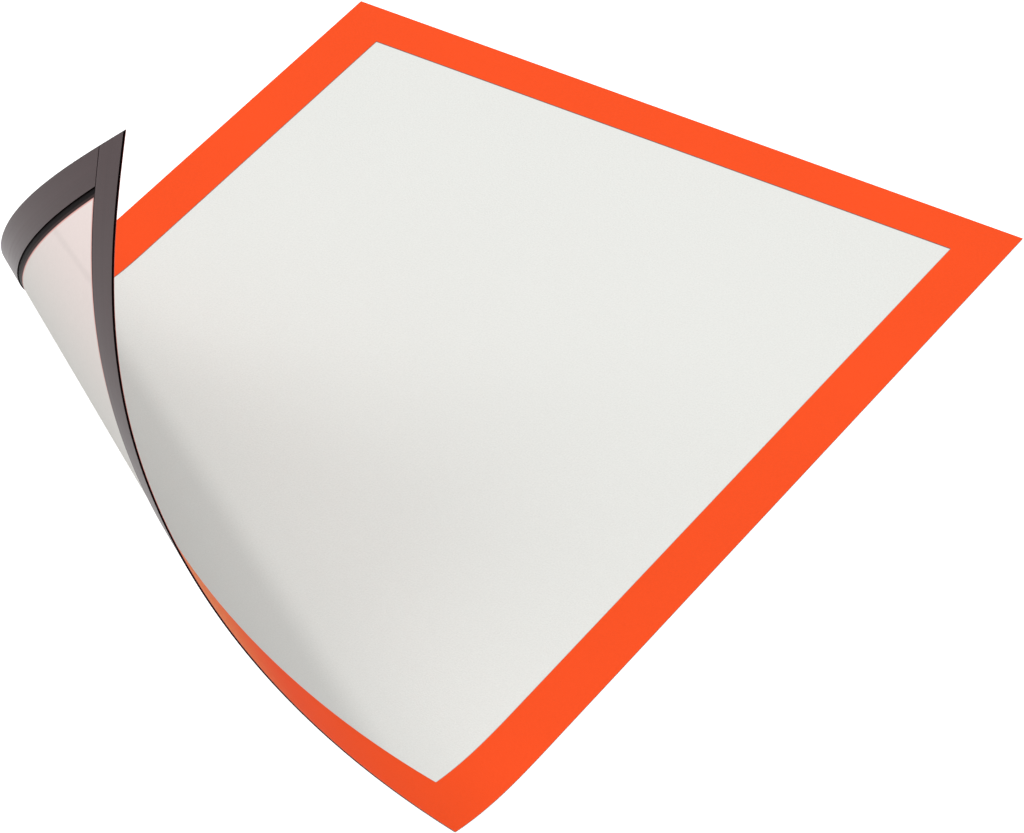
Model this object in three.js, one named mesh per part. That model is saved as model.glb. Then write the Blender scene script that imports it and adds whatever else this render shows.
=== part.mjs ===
// Magnetic document pocket: a matte window film with a coloured border on its
// front and four magnetic strips on its back. A page slides in behind the
// window, between the strips. The pocket lies on its strips, face up, with its
// lower left corner curled up and over, so that its back shows there.
//
// Millimetres. x runs across the page, y up the page and z out of its face.
// Every layer is drawn flat and then carried round the curl with the others.

import * as THREE from 'three';

// Driving dimensions

// The page that the pocket holds, and the play it has between the strips.
const pageWidth = 210;
const pageLength = 297;
const pageClearance = 0.5;

// The strips and the border, across their width, and how far the border and the
// window reach out past the strips.
const stripWidth = 12.5;
const borderWidth = 16;
const overhang = 0.5;

// The layers, from the face to the back, and the glue between them.
const borderThickness = 0.1;
const filmThickness = 0.1;
const stripThickness = 0.35;
const glueLine = 0.03;

// The play where one strip butts against the next.
const buttGap = 0.3;

// The curl. It is ruled: the sheet bends about straight lines that lie in it.
// Distances run along the flat sheet to the lower left corner, in the
// direction curlHeading, and angles are measured in the sheet from the x axis.
const curlHeading = THREE.MathUtils.degToRad(240);
const curlLength = 163.9;
const curlRadius = 57.2;
const curlEaseIn = 20.2;
const curlEaseOut = 60.8;
const firstRuling = THREE.MathUtils.degToRad(-30.2);
const lastRuling = THREE.MathUtils.degToRad(-49.3);
const curlSteps = 60;

// Sizes that follow

const recessWidth = pageWidth + 2 * pageClearance;
const recessLength = pageLength + 2 * pageClearance;
const pocketWidth = recessWidth + 2 * (stripWidth + overhang);
const pocketLength = recessLength + 2 * (stripWidth + overhang);

// Heights in the flat sheet, with the back of the strips at 0.
const filmBack = stripThickness + glueLine;
const borderBack = filmBack + filmThickness + glueLine;

// The curl

// How sharply the sheet bends at a distance past the start of the curl, as one
// over its radius: it eases in, keeps one radius, and eases out to the corner.
function bendAt(distance) {
  const ease = Math.min(1, distance / curlEaseIn, (curlLength - distance) / curlEaseOut);
  return ease / curlRadius;
}

// The rulings, in order from the flat sheet to the corner. Each turns all that
// lies beyond it about its own line, and carries the turns made before it.
function makeRulings() {
  const heading = new THREE.Vector3(Math.cos(curlHeading), Math.sin(curlHeading), 0);
  const corner = new THREE.Vector3(-pocketWidth / 2, -pocketLength / 2, 0);
  const step = curlLength / curlSteps;
  const rulings = [];
  let carried = new THREE.Matrix4();
  for (let i = 0; i < curlSteps; i++) {
    const distance = (i + 0.5) * step;
    const angle = THREE.MathUtils.lerp(firstRuling, lastRuling, distance / curlLength);
    const point = corner.clone().addScaledVector(heading, distance - curlLength);
    const along = new THREE.Vector3(-Math.cos(angle), -Math.sin(angle), 0);
    const across = new THREE.Vector3(Math.sin(angle), -Math.cos(angle), 0);
    const turn = new THREE.Matrix4()
      .makeTranslation(point)
      .multiply(new THREE.Matrix4().makeRotationAxis(along, bendAt(distance) * step))
      .multiply(new THREE.Matrix4().makeTranslation(point.clone().negate()));
    const before = carried;
    carried = carried.clone().multiply(turn);
    rulings.push({ point, across, before, after: carried });
  }
  return rulings;
}

const rulings = makeRulings();
const onRuling = 1e-6;

// Signed distance of a flat point past a ruling, seen from above.
function pastRuling(ruling, x, y) {
  return (x - ruling.point.x) * ruling.across.x + (y - ruling.point.y) * ruling.across.y;
}

// Cuts a flat solid along every ruling that crosses it. Both faces at an edge
// are cut at the same point, so the solid stays closed.
function cutAlongRulings(geometry) {
  const flat = geometry.index ? geometry.toNonIndexed() : geometry;
  const position = flat.getAttribute('position');
  let faces = [];
  for (let i = 0; i < position.count; i += 3) {
    faces.push([0, 1, 2].map((k) => new THREE.Vector3().fromBufferAttribute(position, i + k)));
  }
  for (const ruling of rulings) {
    const side = (p) => {
      const d = pastRuling(ruling, p.x, p.y);
      return Math.abs(d) < onRuling ? 0 : d;
    };
    // The crossing is always worked out from the near end of the edge.
    const crossing = (p, q) => {
      const [near, far] = side(p) < 0 ? [p, q] : [q, p];
      return near.clone().lerp(far, side(near) / (side(near) - side(far)));
    };
    const halfOf = (face, sign) => face.flatMap((p, k) => {
      const q = face[(k + 1) % face.length];
      return [
        ...(side(p) * sign >= 0 ? [p] : []),
        ...(side(p) * side(q) < 0 ? [crossing(p, q)] : []),
      ];
    });
    faces = faces
      .flatMap((face) => [halfOf(face, -1), halfOf(face, 1)])
      .filter((face) => face.length > 2 && face.some((p) => side(p) !== 0));
  }
  return faces.flatMap((face) => face.slice(2).flatMap((p, k) => [face[0], face[k + 1], p]));
}

// Carries a point of the flat pocket round the curl. The face of the sheet is
// the surface that keeps its length, and the layers behind it stay parallel to
// it, so a point on a ruling lies on the line where two such layers meet.
function curl(p, faceHeight) {
  const depth = p.z - faceHeight;
  let last = null;
  let onto = null;
  for (const ruling of rulings) {
    const d = pastRuling(ruling, p.x, p.y);
    if (Math.abs(d) < onRuling) onto = ruling;
    else if (d > 0) last = ruling;
  }
  const face = new THREE.Vector3(p.x, p.y, 0);
  if (onto) {
    const up = new THREE.Vector3(0, 0, 1);
    const before = up.clone().transformDirection(onto.before);
    const after = up.clone().transformDirection(onto.after);
    const mitre = before.clone().add(after).divideScalar(1 + before.dot(after));
    return face.applyMatrix4(onto.before).addScaledVector(mitre, depth);
  }
  face.z = depth;
  return last ? face.applyMatrix4(last.after) : face;
}

// The layers

// A rectangle between two corners, as a path that runs round it once.
function rectangle(left, bottom, right, top, Kind = THREE.Shape) {
  const path = new Kind();
  path.moveTo(left, bottom);
  path.lineTo(right, bottom);
  path.lineTo(right, top);
  path.lineTo(left, top);
  path.closePath();
  return path;
}

const faceHeight = borderBack + borderThickness;

// A layer is cut out flat, from its back to its front, and then curled.
function layer(name, outline, back, thickness, material) {
  const flat = new THREE.ExtrudeGeometry(outline, { depth: thickness, bevelEnabled: false });
  flat.translate(0, 0, back);
  const points = cutAlongRulings(flat).map((p) => curl(p, faceHeight));
  const geometry = new THREE.BufferGeometry().setFromPoints(points);
  geometry.computeVertexNormals();
  const mesh = new THREE.Mesh(geometry, new THREE.MeshStandardMaterial(material));
  mesh.name = name;
  return mesh;
}

const orangeFilm = { color: 0xfb5a2a, roughness: 0.45, metalness: 0 };
const matteFilm = { color: 0xe9eae5, roughness: 0.6, metalness: 0 };
const magneticRubber = { color: 0x5c5250, roughness: 0.65, metalness: 0 };

const halfWidth = pocketWidth / 2;
const halfLength = pocketLength / 2;

function frontBorder() {
  const outline = rectangle(-halfWidth, -halfLength, halfWidth, halfLength);
  outline.holes.push(rectangle(
    -halfWidth + borderWidth, -halfLength + borderWidth,
    halfWidth - borderWidth, halfLength - borderWidth, THREE.Path));
  return layer('front_border', outline, borderBack, borderThickness, orangeFilm);
}

function windowFilm() {
  const outline = rectangle(-halfWidth, -halfLength, halfWidth, halfLength);
  return layer('window_film', outline, filmBack, filmThickness, matteFilm);
}

// The strips along the short sides run from corner to corner, and those along
// the long sides lie between them.
function magnetStrips() {
  const side = halfWidth - overhang;
  const end = halfLength - overhang;
  const inner = end - stripWidth;
  const between = inner - buttGap;
  return [
    ['magnet_strip_top', rectangle(-side, inner, side, end)],
    ['magnet_strip_bottom', rectangle(-side, -end, side, -inner)],
    ['magnet_strip_left', rectangle(-side, -between, -side + stripWidth, between)],
    ['magnet_strip_right', rectangle(side - stripWidth, -between, side, between)],
  ].map(([name, outline]) => layer(name, outline, 0, stripThickness, magneticRubber));
}

// The pocket, standing on its strips with its box centred on the origin

const pocket = new THREE.Group();
pocket.name = 'magnetic_document_pocket';
pocket.add(frontBorder(), windowFilm(), ...magnetStrips());

const box = new THREE.Box3().setFromObject(pocket);
const middle = box.getCenter(new THREE.Vector3());
pocket.position.set(-middle.x, -middle.y, -box.min.z);

export default pocket;
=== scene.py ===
# %% [markdown]
# # A magnetic document pocket with one corner curled up
#
# The pocket is a thin sandwich: an orange border film on the face, a matte
# window film behind it, and four strips of magnetic rubber round the back. It
# lies on its strips, and its lower left corner is curled up and over, so the
# back of that corner is what the camera sees there.
#
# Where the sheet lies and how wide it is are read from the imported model. Its
# other sizes, such as the curl's, are written out again here. This lesson makes
# the same layers once more, finer and with soft edges, and gives them their
# finishes.

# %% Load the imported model
import math

import bmesh
import bpy
import numpy as np
from mathutils import Matrix, Vector


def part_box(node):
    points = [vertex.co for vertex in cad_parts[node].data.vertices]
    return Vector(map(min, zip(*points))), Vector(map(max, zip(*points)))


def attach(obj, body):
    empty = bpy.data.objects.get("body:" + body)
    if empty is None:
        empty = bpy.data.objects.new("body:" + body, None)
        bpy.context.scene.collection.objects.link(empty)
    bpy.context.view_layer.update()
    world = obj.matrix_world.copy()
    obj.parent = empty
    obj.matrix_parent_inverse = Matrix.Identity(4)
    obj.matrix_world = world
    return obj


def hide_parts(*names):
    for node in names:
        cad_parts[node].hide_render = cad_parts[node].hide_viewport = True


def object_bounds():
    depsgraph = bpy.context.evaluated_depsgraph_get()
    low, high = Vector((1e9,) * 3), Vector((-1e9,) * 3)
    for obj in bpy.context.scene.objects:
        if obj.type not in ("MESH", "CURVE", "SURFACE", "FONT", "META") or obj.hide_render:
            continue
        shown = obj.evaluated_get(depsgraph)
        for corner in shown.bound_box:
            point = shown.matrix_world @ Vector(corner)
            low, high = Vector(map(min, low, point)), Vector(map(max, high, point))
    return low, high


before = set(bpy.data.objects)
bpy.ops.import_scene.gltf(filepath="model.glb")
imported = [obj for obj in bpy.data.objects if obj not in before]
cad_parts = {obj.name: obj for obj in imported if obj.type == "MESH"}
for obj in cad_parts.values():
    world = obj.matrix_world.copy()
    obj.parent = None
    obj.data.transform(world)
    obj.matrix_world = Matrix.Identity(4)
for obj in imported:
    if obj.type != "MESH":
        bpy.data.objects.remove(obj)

MM = 0.001
cad_box = [list(corner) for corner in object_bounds()]
print("solid model's box", cad_box)

# %% [markdown]
# ## Where the flat sheet lies
#
# Every layer is drawn on the flat sheet first, with its middle at the origin
# and millimetres for units. The top strip isn't bent, so its box says where the
# sheet's middle is and how wide the sheet and the strip are. The border and the
# window reach a little past the strips all round. The long side follows from the
# page that fits between the strips, which is taken to be 210 x 297 mm.

# %% Sizes of the flat sheet, in millimetres
top_low, top_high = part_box("magnet_strip_top")
overhang = 0.5
sheet_width = (top_high.x - top_low.x) / MM + 2 * overhang
strip_width = (top_high.y - top_low.y) / MM
strip_thickness = (top_high.z - top_low.z) / MM
page_width, page_length = 210.0, 297.0
sheet_length = sheet_width + page_length - page_width
border_width = 16.0
film_thickness = 0.1
border_thickness = 0.1
glue_line = 0.03
butt_gap = 0.3

half_width, half_length = sheet_width / 2, sheet_length / 2
strip_reach = overhang + strip_width
film_back = strip_thickness + glue_line
border_back = film_back + film_thickness + glue_line
face_height = border_back + border_thickness
sheet_middle = Vector((
    (top_low.x + top_high.x) / 2,
    top_high.y - (half_length - overhang) * MM, top_low.z))
print("flat sheet", round(sheet_width, 2), "x", round(sheet_length, 2), "mm")

# %% [markdown]
# ## The curl
#
# A film can't stretch, so it can only bend about straight lines that lie in it,
# the rulings. The curl is a run of such lines from the flat sheet to the
# corner, and each turns everything past it by a small angle. Simple Deform could
# bend a sheet about parallel lines at one radius. These lines fan out, and the
# bend eases in and out, so the points are turned in code.

# %% The rulings of the curl
curl_heading = math.radians(240)
curl_length = 163.9
curl_radius = 57.2
curl_ease_in = 20.2
curl_ease_out = 60.8
first_ruling = math.radians(-30.2)
last_ruling = math.radians(-49.3)
curl_steps = 150


def bend_at(distance):
    """One over the radius, at a distance past the start of the curl."""
    left = curl_length - distance
    return min(1, distance / curl_ease_in, left / curl_ease_out) / curl_radius


def make_rulings():
    """Points and directions in the flat sheet, with the turns made so far."""
    heading = Vector((math.cos(curl_heading), math.sin(curl_heading), 0))
    corner = Vector((-half_width, -half_length, 0))
    step = curl_length / curl_steps
    carried = Matrix.Identity(4)
    rulings = []
    for i in range(curl_steps):
        distance = (i + 0.5) * step
        share = distance / curl_length
        angle = first_ruling + (last_ruling - first_ruling) * share
        point = corner + heading * (distance - curl_length)
        along = Vector((-math.cos(angle), -math.sin(angle), 0))
        across = Vector((math.sin(angle), -math.cos(angle), 0))
        turn = Matrix.Rotation(bend_at(distance) * step, 4, along)
        here = Matrix.Translation(point)
        before = carried
        carried = carried @ here @ turn @ here.inverted()
        rulings.append((point, across, np.array(before), np.array(carried)))
    return rulings


rulings = make_rulings()
ruling_points = np.array([r[0] for r in rulings])
ruling_across = np.array([r[1] for r in rulings])
turns_before = np.array([r[2] for r in rulings])
turns_after = np.array([r[3] for r in rulings])
step = curl_length / curl_steps
total_turn = sum(bend_at((i + 0.5) * step) * step for i in range(curl_steps))
print("the corner turns by", round(math.degrees(total_turn)), "degrees")


# %% [markdown]
# A point that lies on a ruling belongs to the facets on both of its sides. If it
# isn't on the face itself, it goes where the two facets' parallel layers meet,
# just as the corner of a picture frame is cut on the mitre.

# %% Carry flat points round the curl
def curled(points):
    """Places in metres for flat points in millimetres, and how each is turned."""
    flat = np.array(points, dtype=float)
    depth = flat[:, 2] - face_height
    face = flat.copy()
    face[:, 2] = 0
    past = ((face[:, None, :2] - ruling_points[None, :, :2])
            * ruling_across[None, :, :2]).sum(axis=2)
    on_line = np.abs(past) < 1e-3
    crossed = ((past > 0) & ~on_line).sum(axis=1)
    turns = np.concatenate([np.eye(4)[None], turns_after])[crossed]
    placed = np.einsum("nij,nj->ni", turns[:, :3, :3], face) + turns[:, :3, 3]
    turned = turns[:, :3, :3].copy()
    normal = turned[:, :, 2].copy()
    for n in np.nonzero(on_line.any(axis=1))[0]:
        k = int(np.argmax(on_line[n]))
        before, after = turns_before[k][:3, :3], turns_after[k][:3, :3]
        placed[n] = before @ face[n] + turns_before[k][:3, 3]
        turned[n] = (before + after) / 2
        a, b = before[:, 2], after[:, 2]
        normal[n] = (a + b) / (1 + a @ b)
    placed += normal * depth[:, None]
    placed[:, 2] += face_height
    return placed * MM + np.array(sheet_middle), turned


def turn_normals(mesh, flat_normals, turned):
    """Turns each face's flat normal with the sheet, so the curl shades smoothly."""
    vertex = np.empty(len(mesh.loops), dtype=int)
    mesh.loops.foreach_get("vertex_index", vertex)
    corners = np.empty(len(mesh.polygons), dtype=int)
    mesh.polygons.foreach_get("loop_total", corners)
    face = np.repeat(np.arange(len(mesh.polygons)), corners)
    normals = np.einsum("nij,nj->ni", turned[vertex], flat_normals[face])
    mesh.normals_split_custom_set(normals.tolist())


# %% [markdown]
# ## Cutting out a layer
#
# Each layer starts as one flat ring or rectangle of faces, which is extruded to
# its thickness, softened along its rims and sliced along every ruling. Only
# then are its points curled. The flat place of each point is kept on the mesh,
# so that the finishes know how far they are from an edge of the sheet.

# %% Make one layer of the sandwich
def rectangle(left, bottom, right, top):
    return [(left, bottom), (right, bottom), (right, top), (left, top)]


def flat_solid(outer, inner, back, thickness, rim):
    """A closed flat plate, or a ring where an inner outline is given."""
    bm = bmesh.new()
    top = back + thickness
    if inner:
        ring = [bm.verts.new((x, y, top)) for x, y in outer]
        hole = [bm.verts.new((x, y, top)) for x, y in inner]
        for i in range(4):
            j = (i + 1) % 4
            bm.faces.new((ring[i], ring[j], hole[j], hole[i]))
    else:
        bm.faces.new([bm.verts.new((x, y, top)) for x, y in outer])
    lifted = bmesh.ops.extrude_face_region(bm, geom=bm.faces[:])
    moved = [v for v in lifted["geom"] if isinstance(v, bmesh.types.BMVert)]
    bmesh.ops.translate(bm, verts=moved, vec=(0, 0, -thickness))
    bmesh.ops.recalc_face_normals(bm, faces=bm.faces[:])
    corners = [e for e in bm.edges if e.calc_face_angle(0) > 1]
    bmesh.ops.bevel(bm, geom=corners, offset=rim, segments=2, profile=0.5,
                    affect="EDGES", clamp_overlap=True)
    return bm


def layer(name, outer, back, thickness, rim, inner=None, finishes=(), along_y=False):
    """Cut out, slice and curl a layer. Finishes are front, edge and back."""
    bm = flat_solid(outer, inner, back, thickness, rim)
    for point, across, _, _ in rulings:
        bmesh.ops.bisect_plane(
            bm, geom=bm.verts[:] + bm.edges[:] + bm.faces[:], dist=1e-4,
            plane_co=point, plane_no=across)
    bm.normal_update()
    for face in bm.faces:
        face.smooth = True
        up = face.normal.z
        face.material_index = 0 if up > 0.5 else 2 if up < -0.5 else 1
    mesh = bpy.data.meshes.new(name)
    bm.to_mesh(mesh)
    bm.free()
    flat = np.empty(len(mesh.vertices) * 3)
    mesh.vertices.foreach_get("co", flat)
    flat = flat.reshape(-1, 3)
    mesh.attributes.new("sheet_mm", "FLOAT_VECTOR", "POINT").data.foreach_set(
        "vector", flat.ravel())
    run = flat[:, [1, 0, 2]] if along_y else flat
    mesh.attributes.new("strip_mm", "FLOAT_VECTOR", "POINT").data.foreach_set(
        "vector", np.ascontiguousarray(run).ravel())
    flat_normals = np.empty(len(mesh.polygons) * 3)
    mesh.polygons.foreach_get("normal", flat_normals)
    placed, turned = curled(flat)
    mesh.vertices.foreach_set("co", placed.ravel())
    mesh.update()
    turn_normals(mesh, flat_normals.reshape(-1, 3), turned)
    piece = bpy.data.objects.new(name, mesh)
    bpy.context.scene.collection.objects.link(piece)
    for material in finishes:
        mesh.materials.append(material)
    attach(piece, "root")
    print(name, len(mesh.polygons), "faces")
    return piece


# %% [markdown]
# ## Shader groups that the finishes share
#
# A node group is built once and then placed in each material with values of its
# own. It is given the flat place of a point, so its pattern runs with the sheet
# round the curl and doesn't stretch there.

# %% Helpers for node groups
def new_group(name, inputs, outputs):
    group = bpy.data.node_groups.new(name, "ShaderNodeTree")
    for label, kind, value in inputs:
        socket = group.interface.new_socket(label, in_out="INPUT", socket_type=kind)
        if value is not None:
            socket.default_value = value
    for label, kind in outputs:
        group.interface.new_socket(label, in_out="OUTPUT", socket_type=kind)
    return group, group.nodes.new("NodeGroupInput"), group.nodes.new("NodeGroupOutput")


def add(tree, kind, settings=None, **inputs):
    """Adds a node. Inputs are values, or the sockets that feed them."""
    node = tree.nodes.new(kind)
    for key, value in (settings or {}).items():
        setattr(node, key, value)
    for key, value in inputs.items():
        slot = int(key[1:]) if key[0] == "i" and key[1:].isdigit() else key.replace("_", " ")
        socket = node.inputs[slot]
        if isinstance(value, bpy.types.NodeSocket):
            tree.links.new(value, socket)
        else:
            socket.default_value = value
    return node


def math_node(tree, operation, a, b=0.0, clamp=False):
    return add(tree, "ShaderNodeMath",
               {"operation": operation, "use_clamp": clamp}, i0=a, i1=b).outputs[0]


def noise(tree, vector, scale, detail=2.0, roughness=0.5):
    return add(tree, "ShaderNodeTexNoise", Vector=vector, Scale=scale,
               Detail=detail, Roughness=roughness).outputs["Fac"]


# %% [markdown]
# The films and the rubber all have a fine grain and a slow, cloudy mottle. One
# group makes both from noise, and each finish asks for its own scale of them.

# %% Group: fine surface grain and slow mottling
def make_grain_group():
    """Fine grain and slow mottle, both about 0, and a height for bump."""
    group, given, result = new_group(
        "film_grain",
        [("Vector", "NodeSocketVector", None), ("Grain Scale", "NodeSocketFloat", 2.0),
         ("Mottle Scale", "NodeSocketFloat", 0.03), ("Stretch", "NodeSocketFloat", 1.0)],
        [("Grain", "NodeSocketFloat"), ("Mottle", "NodeSocketFloat"),
         ("Height", "NodeSocketFloat")])
    parts = add(group, "ShaderNodeSeparateXYZ", Vector=given.outputs["Vector"])
    run = math_node(group, "DIVIDE", parts.outputs["X"], given.outputs["Stretch"])
    place = add(group, "ShaderNodeCombineXYZ", X=run, Y=parts.outputs["Y"],
                Z=parts.outputs["Z"]).outputs[0]
    fine = noise(group, place, given.outputs["Grain Scale"], 3.0, 0.6)
    slow = noise(group, place, given.outputs["Mottle Scale"], 2.0, 0.5)
    for label, value in (("Grain", fine), ("Mottle", slow)):
        group.links.new(math_node(group, "SUBTRACT", value, 0.5), result.inputs[label])
    group.links.new(fine, result.inputs["Height"])
    return group


grain_group = make_grain_group()


# %% [markdown]
# The dark print, the painted pink glow and the painted shadow lines beside the
# border all run along the sides of the sheet. A group that measures from the sides
# places them without any picture.

# %% Group: how far a point is from the edge of the sheet
def make_edge_group():
    """Distances in mm, inwards on the flat sheet, from its long and short sides."""
    group, given, result = new_group(
        "from_sheet_edge",
        [("Vector", "NodeSocketVector", None), ("Half Width", "NodeSocketFloat", 100.0),
         ("Half Length", "NodeSocketFloat", 100.0)],
        [("Long Side", "NodeSocketFloat"), ("Short Side", "NodeSocketFloat")])
    parts = add(group, "ShaderNodeSeparateXYZ", Vector=given.outputs["Vector"])
    for axis, half, side in (("X", "Half Width", "Long Side"),
                             ("Y", "Half Length", "Short Side")):
        from_middle = math_node(group, "ABSOLUTE", parts.outputs[axis])
        inwards = math_node(group, "SUBTRACT", given.outputs[half], from_middle)
        group.links.new(inwards, result.inputs[side])
    return group


edge_group = make_edge_group()


# %% [markdown]
# A finish is a Principled shader whose colour is built up in steps: a base, a
# change across some distance, and a little light and dark from the grain.

# %% Helpers for materials
def srgb(red, green, blue):
    """A colour as an eye-dropper reads it, 0 to 255, for a colour socket."""
    def linear(c):
        c /= 255
        return c / 12.92 if c <= 0.04045 else ((c + 0.055) / 1.055) ** 2.4
    return (linear(red), linear(green), linear(blue), 1.0)


def new_material(name, roughness, specular=0.5):
    material = bpy.data.materials.new(name)
    material.use_nodes = True
    tree = material.node_tree
    shader = tree.nodes["Principled BSDF"]
    shader.inputs["Roughness"].default_value = roughness
    shader.inputs["Specular IOR Level"].default_value = specular
    return material, tree, shader


def place_of(tree, name="sheet_mm"):
    return add(tree, "ShaderNodeAttribute", {"attribute_name": name}).outputs["Vector"]


def grain_of(tree, vector, grain_scale, mottle_scale, stretch=1.0):
    node = add(tree, "ShaderNodeGroup", {"node_tree": grain_group}, Vector=vector)
    node.inputs["Grain Scale"].default_value = grain_scale
    node.inputs["Mottle Scale"].default_value = mottle_scale
    node.inputs["Stretch"].default_value = stretch
    return node.outputs


def edge_distance(tree, vector):
    node = add(tree, "ShaderNodeGroup", {"node_tree": edge_group}, Vector=vector)
    node.inputs["Half Width"].default_value = half_width
    node.inputs["Half Length"].default_value = half_length
    return node.outputs


def mix_colour(tree, factor, a, b):
    node = tree.nodes.new("ShaderNodeMix")
    node.data_type = "RGBA"
    for socket, value in ((node.inputs[0], factor), (node.inputs[6], a), (node.inputs[7], b)):
        if isinstance(value, bpy.types.NodeSocket):
            tree.links.new(value, socket)
        else:
            socket.default_value = value
    return node.outputs[2]


def step_between(tree, value, start, end, low=0.0, high=1.0):
    node = add(tree, "ShaderNodeMapRange", {"interpolation_type": "SMOOTHSTEP"}, Value=value)
    for key, number in (("From Min", start), ("From Max", end),
                        ("To Min", low), ("To Max", high)):
        node.inputs[key].default_value = number
    return node.outputs["Result"]


def tinted(tree, colour, by, amount):
    """Lightens and darkens a colour by a signed pattern."""
    gain = math_node(tree, "MULTIPLY_ADD", by, amount)
    gain.node.inputs[2].default_value = 1.0
    node = add(tree, "ShaderNodeVectorMath", {"operation": "SCALE"}, Scale=gain)
    if isinstance(colour, bpy.types.NodeSocket):
        tree.links.new(colour, node.inputs[0])
    else:
        node.inputs[0].default_value = colour[:3]
    return node.outputs[0]


def bumped(tree, shader, height, depth_mm):
    bump = add(tree, "ShaderNodeBump", Height=height)
    bump.inputs["Distance"].default_value = depth_mm * MM
    tree.links.new(bump.outputs[0], shader.inputs["Normal"])


# %% [markdown]
# ## The finishes
#
# The border is a coloured film with a satin skin. Its back is dark, and its cut
# edge looks pink. Layer Weight tells how far the skin turns away from the eye,
# and a painted sheen makes it paler there.

# %% Finish: orange border film
orange_slant_from, orange_slant_to = 0.7, 0.98
orange_painted_sheen_share = 0.75
plain_grain = 0.15


def make_orange_face():
    material, tree, shader = new_material("orange_border_face", 0.5, 0.12)
    place = place_of(tree)
    grain = grain_of(tree, place, 1.3, 0.02)
    colour = tinted(tree, srgb(255, 82, 27), grain["Mottle"], 0.08)
    colour = tinted(tree, colour, grain["Grain"], 0.12)
    # A painted sheen: the skin is made paler where it turns away from the eye.
    turned_away = add(tree, "ShaderNodeLayerWeight", Blend=0.5).outputs["Facing"]
    colour = mix_colour(
        tree,
        step_between(tree, turned_away, orange_slant_from, orange_slant_to,
                     0.0, orange_painted_sheen_share),
        colour, srgb(255, 150, 78))
    tree.links.new(colour, shader.inputs["Base Color"])
    bumped(tree, shader, grain["Height"], 0.05)
    return material


def make_plain(name, colour, roughness, specular):
    """A finish of one colour with a little grain, for cut edges and the dark back."""
    material, tree, shader = new_material(name, roughness, specular)
    grain = grain_of(tree, place_of(tree), 2.5, 0.05)
    colour = tinted(tree, colour, grain["Grain"], plain_grain)
    tree.links.new(colour, shader.inputs["Base Color"])
    bumped(tree, shader, grain["Height"], 0.01)
    return material


orange_face = make_orange_face()
orange_edge = make_plain("orange_border_cut_edge", srgb(226, 132, 120), 0.5, 0.05)
dark_back = make_plain("dark_border_back", srgb(60, 50, 50), 0.5, 0.3)


# %% [markdown]
# The window is a matte film. From the front it is a very light grey, with a thin
# painted shadow of the border, a darker line, beside it. On the real pocket the
# border's dark back shows through the film. The film is opaque here, so that print
# is painted on its back, together with a painted shadow of the strips in black
# beside them, a painted pink glow of the border's orange light along its inner
# edge, a painted pink tint of light towards the curled corner, and a faint painted
# dark line of shade across the curled corner. A painted shade that grows as the
# front turns from the eye stands in for the film's sheen, and was set by comparing
# renders with the photograph.

# %% Finish: matte window film
film_slant_from, film_slant_to = 0.5, 0.61
film_slant_shade = -0.17
short_side_shadow_line, long_side_shadow_line = 0.45, 0.3
painted_pink_light_to, painted_pink_light_gone = 40.0, 110.0
print_past_short_strip = 1.25
painted_shadow_beside_strip, brown_beside_strip = 1.7, 2.2
print_fade = 0.1
painted_glow_width = 0.8
shade_line_from_corner = 56.0
shade_line_core, shade_line_reach, shade_line_depth = 0.2, 2.6, -0.06


def make_film_front():
    material, tree, shader = new_material("matte_film_front", 0.55, 0.12)
    place = place_of(tree)
    grain = grain_of(tree, place, 1.9, 0.012)
    sides = edge_distance(tree, place)
    film = tinted(tree, srgb(236, 237, 233), grain["Grain"], 0.2)
    film = tinted(tree, film, grain["Mottle"], 0.02)
    # A painted shadow of the border: a thin dark line on the film beside it, darker along the
    # short sides.
    beside = mix_colour(
        tree,
        step_between(tree, sides["Short Side"], border_width, border_width + short_side_shadow_line),
        srgb(96, 52, 40), film)
    colour = mix_colour(
        tree,
        step_between(tree, sides["Long Side"], border_width, border_width + long_side_shadow_line),
        srgb(150, 120, 110), beside)
    turned_away = add(tree, "ShaderNodeLayerWeight", Blend=0.5).outputs["Facing"]
    shade = step_between(tree, turned_away, film_slant_from, film_slant_to,
                         0.0, film_slant_shade)
    colour = tinted(tree, colour, shade, 1.0)
    tree.links.new(colour, shader.inputs["Base Color"])
    bumped(tree, shader, grain["Height"], 0.08)
    return material


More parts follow.
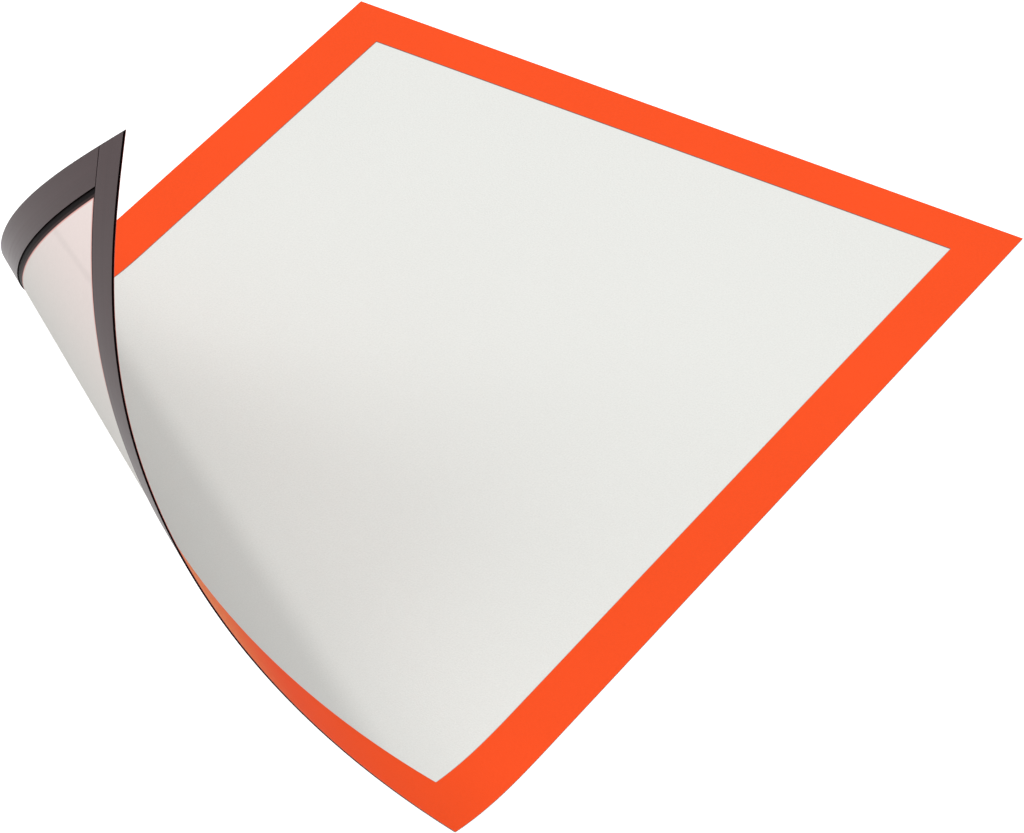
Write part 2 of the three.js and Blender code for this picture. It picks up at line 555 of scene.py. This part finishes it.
def make_film_back():
    material, tree, shader = new_material("matte_film_back", 0.5, 0.03)
    place = place_of(tree)
    grain = grain_of(tree, place, 1.1, 0.012)
    sides = edge_distance(tree, place)
    from_corner = math_node(tree, "ADD", sides["Long Side"], sides["Short Side"])
    # Painted light: towards the curled corner the back is tinted pink, as by orange light
    # from the border.
    window = mix_colour(
        tree, step_between(tree, from_corner, painted_pink_light_to, painted_pink_light_gone),
        srgb(250, 235, 231), srgb(240, 237, 232))
    # Less of the dark print shows past the strips along the short sides.
    past_strip = math_node(
        tree, "ADD", sides["Short Side"], border_width - strip_reach - print_past_short_strip)
    inwards = math_node(tree, "MINIMUM", sides["Long Side"], past_strip)
    # A faint painted dark line of shade crosses the curled corner.
    parts = add(tree, "ShaderNodeSeparateXYZ", Vector=place)
    diagonal = math_node(tree, "ADD", parts.outputs["X"], parts.outputs["Y"])
    from_shade_line = math_node(
        tree, "ABSOLUTE",
        math_node(tree, "ADD", diagonal, half_width + half_length - shade_line_from_corner))
    painted_shade_line = step_between(tree, from_shade_line, shade_line_core, shade_line_reach, shade_line_depth, 0.0)
    window = tinted(tree, window, painted_shade_line, 1.0)
    # A painted glow: a pink line of the border's orange light along its inner edge.
    glow = mix_colour(
        tree,
        step_between(tree, inwards, border_width + print_fade, border_width + painted_glow_width),
        srgb(238, 176, 168), window)
    # The dark print is brown, and is painted near black right beside the strips as a painted
    # shadow of the strips.
    print_and_strip_shadow = mix_colour(
        tree,
        step_between(tree, inwards, strip_reach + painted_shadow_beside_strip,
                     strip_reach + brown_beside_strip),
        srgb(8, 2, 3), srgb(56, 41, 41))
    colour = mix_colour(
        tree,
        step_between(tree, inwards, border_width - print_fade, border_width + print_fade),
        print_and_strip_shadow, glow)
    colour = tinted(tree, colour, grain["Grain"], 0.07)
    tree.links.new(colour, shader.inputs["Base Color"])
    bumped(tree, shader, grain["Height"], 0.03)
    return material


film_front = make_film_front()
film_back_finish = make_film_back()
film_edge = make_plain("film_cut_edge", srgb(50, 8, 12), 0.5, 0.05)


# %% [markdown]
# Magnetic rubber is rolled out as a long strip, so its skin has faint lines that
# run along it. Its cut edges are nearly black.

# %% Finish: magnetic rubber
rubber_roughness = 0.34
line_stretch = 60.0


def make_rubber():
    material, tree, shader = new_material("magnetic_rubber_skin", rubber_roughness, 0.12)
    place = place_of(tree, "strip_mm")
    lines = grain_of(tree, place, 0.9, 0.25, stretch=line_stretch)
    grain = grain_of(tree, place, 3.0, 0.03)
    colour = tinted(tree, srgb(70, 53, 55), lines["Grain"], 0.22)
    colour = tinted(tree, colour, lines["Mottle"], 0.15)
    colour = tinted(tree, colour, grain["Grain"], 0.08)
    tree.links.new(colour, shader.inputs["Base Color"])
    rough = math_node(tree, "MULTIPLY_ADD", lines["Grain"], 0.12)
    rough.node.inputs[2].default_value = rubber_roughness
    tree.links.new(rough, shader.inputs["Roughness"])
    bumped(tree, shader, lines["Height"], 0.015)
    return material


rubber_skin = make_rubber()
rubber_cut = make_plain("magnetic_rubber_cut_edge", srgb(9, 1, 2), 0.6, 0.03)

# %% [markdown]
# ## The layers
#
# The border and the window reach the edge of the sheet all round. The strips
# along the short sides run from corner to corner, and the long ones lie between
# them with a little play.

# %% Make the border and the window
film_rim = 0.03
whole_sheet = rectangle(-half_width, -half_length, half_width, half_length)
opening = rectangle(-half_width + border_width, -half_length + border_width,
                    half_width - border_width, half_length - border_width)

border_film = layer("border_film", whole_sheet, border_back, border_thickness, film_rim,
                    inner=opening, finishes=(orange_face, orange_edge, dark_back))
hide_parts("front_border")

window = layer("window", whole_sheet, film_back, film_thickness, film_rim,
               finishes=(film_front, film_edge, film_back_finish))
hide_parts("window_film")

# %% [markdown]
# The rubber is thicker than the films, so its rims are softer. On the left and
# right strips the skin's lines run up the page instead of across it.

# %% Make the magnetic strips
side_edge = half_width - overhang
end_edge = half_length - overhang
inner_side = end_edge - strip_width
between = inner_side - butt_gap
strip_rim = 0.06
strips = {
    "top": rectangle(-side_edge, inner_side, side_edge, end_edge),
    "bottom": rectangle(-side_edge, -end_edge, side_edge, -inner_side),
    "left": rectangle(-side_edge, -between, -side_edge + strip_width, between),
    "right": rectangle(side_edge - strip_width, -between, side_edge, between),
}
for side, outline in strips.items():
    strip = layer("strip_" + side, outline, 0.0, strip_thickness, strip_rim,
                  finishes=(rubber_skin, rubber_cut, rubber_skin),
                  along_y=side in ("left", "right"))
    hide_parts("magnet_strip_" + side)

# %% [markdown]
# ## The floor and the light
#
# The pocket lies on a white floor just under its strips. The lamps alone would
# leave the floor grey, so it glows for the camera and in glossy reflections, and
# reaches white.

# %% Floor
floor_glow = 0.98
floor_reach = 6.0
floor_drop = 0.0002
floor_grey = 0.4


def make_floor():
    mesh = bpy.data.meshes.new("floor")
    level = cad_box[0][2] - floor_drop
    outline = rectangle(-floor_reach, -floor_reach, floor_reach, floor_reach)
    mesh.from_pydata([(x, y, level) for x, y in outline], [], [(0, 1, 2, 3)])
    floor = bpy.data.objects.new("floor", mesh)
    bpy.context.scene.collection.objects.link(floor)
    material, tree, shader = new_material("white_floor", 0.9, 0.0)
    shader.inputs["Base Color"].default_value = (floor_grey, floor_grey, floor_grey, 1)
    shader.inputs["Emission Color"].default_value = (1, 1, 1, 1)
    rays = tree.nodes.new("ShaderNodeLightPath").outputs
    seen = math_node(tree, "MAXIMUM", rays["Is Camera Ray"], rays["Is Glossy Ray"])
    strength = math_node(tree, "MULTIPLY", seen, floor_glow)
    tree.links.new(strength, shader.inputs["Emission Strength"])
    mesh.materials.append(material)


make_floor()

# %% [markdown]
# The light is soft and comes from nearly all round, with two large lamps above
# and on the left. The world is less bright behind on the right, so the bend
# falls off gently there.

# %% World and lamps
world_dim, world_bright = 0.28, 0.82
bright_side = Vector((-0.3, -0.5, 0.8)).normalized()
dim_until, bright_from = -0.5, 0.9
top_power, left_power = 8.6, 9.5


def make_world():
    """Bright above and in front on the left, dim behind on the right."""
    world = bpy.data.worlds.new("studio")
    world.use_nodes = True
    tree = world.node_tree
    background = tree.nodes["Background"]
    background.inputs["Color"].default_value = (1, 1, 1, 1)
    way = add(tree, "ShaderNodeTexCoord").outputs["Generated"]
    facing = add(tree, "ShaderNodeVectorMath", {"operation": "DOT_PRODUCT"},
                 i0=way, i1=bright_side).outputs["Value"]
    glow = step_between(tree, facing, dim_until, bright_from, world_dim, world_bright)
    rays = tree.nodes.new("ShaderNodeLightPath").outputs
    seen = math_node(tree, "MAXIMUM", rays["Is Camera Ray"], rays["Is Transmission Ray"])
    lifted = math_node(tree, "MAXIMUM", glow, seen)
    tree.links.new(lifted, background.inputs["Strength"])
    bpy.context.scene.world = world


def softbox(name, place, size, power):
    """A square lamp that faces the pocket."""
    light = bpy.data.lights.new(name, "AREA")
    light.shape = "RECTANGLE"
    light.size = light.size_y = size
    light.energy = power
    lamp = bpy.data.objects.new(name, light)
    lamp.location = place
    lamp.rotation_euler = (-Vector(place)).to_track_quat("-Z", "Y").to_euler()
    bpy.context.scene.collection.objects.link(lamp)


make_world()
softbox("top_softbox", (0.5, 0.3, 1.7), 1.4, top_power)
softbox("left_softbox", (-1.6, -0.9, 1.35), 1.2, left_power)

# %% [markdown]
# ## The camera
#
# The camera's angle, distance and lens come from one fit to the border's edges
# and the curl in the photograph. It puts the camera about 1.9 m away, with a
# long lens, so the sheet's sides hardly converge.

# %% Camera
azimuth, elevation, roll = (math.radians(a) for a in (31.423, 38.242, 0.323))
lens_pixels = 6676.0
image_width = 1024
sensor_width = 36.0
aim_x, aim_y = 33.26, 6.57
mm_per_pixel = 0.2912


def make_camera():
    back = Vector((math.sin(azimuth) * math.cos(elevation),
                   -math.cos(azimuth) * math.cos(elevation), math.sin(elevation)))
    side = (-back).cross(Vector((0, 0, 1))).normalized()
    up = side.cross(-back)
    right = math.cos(roll) * side + math.sin(roll) * up
    top = math.cos(roll) * up - math.sin(roll) * side
    data = bpy.data.cameras.new("camera")
    data.sensor_fit = "HORIZONTAL"
    data.sensor_width = sensor_width
    data.lens = sensor_width * lens_pixels / image_width
    data.clip_end = 50
    camera = bpy.data.objects.new("camera", data)
    target = sheet_middle + Vector((aim_x, aim_y, face_height)) * MM
    place = target + back * lens_pixels * mm_per_pixel * MM
    turn = Matrix((right, top, back)).transposed().to_4x4()
    camera.matrix_world = Matrix.Translation(place) @ turn
    bpy.context.scene.collection.objects.link(camera)
    bpy.context.scene.camera = camera


make_camera()
bpy.context.scene.view_settings.view_transform = "Standard"
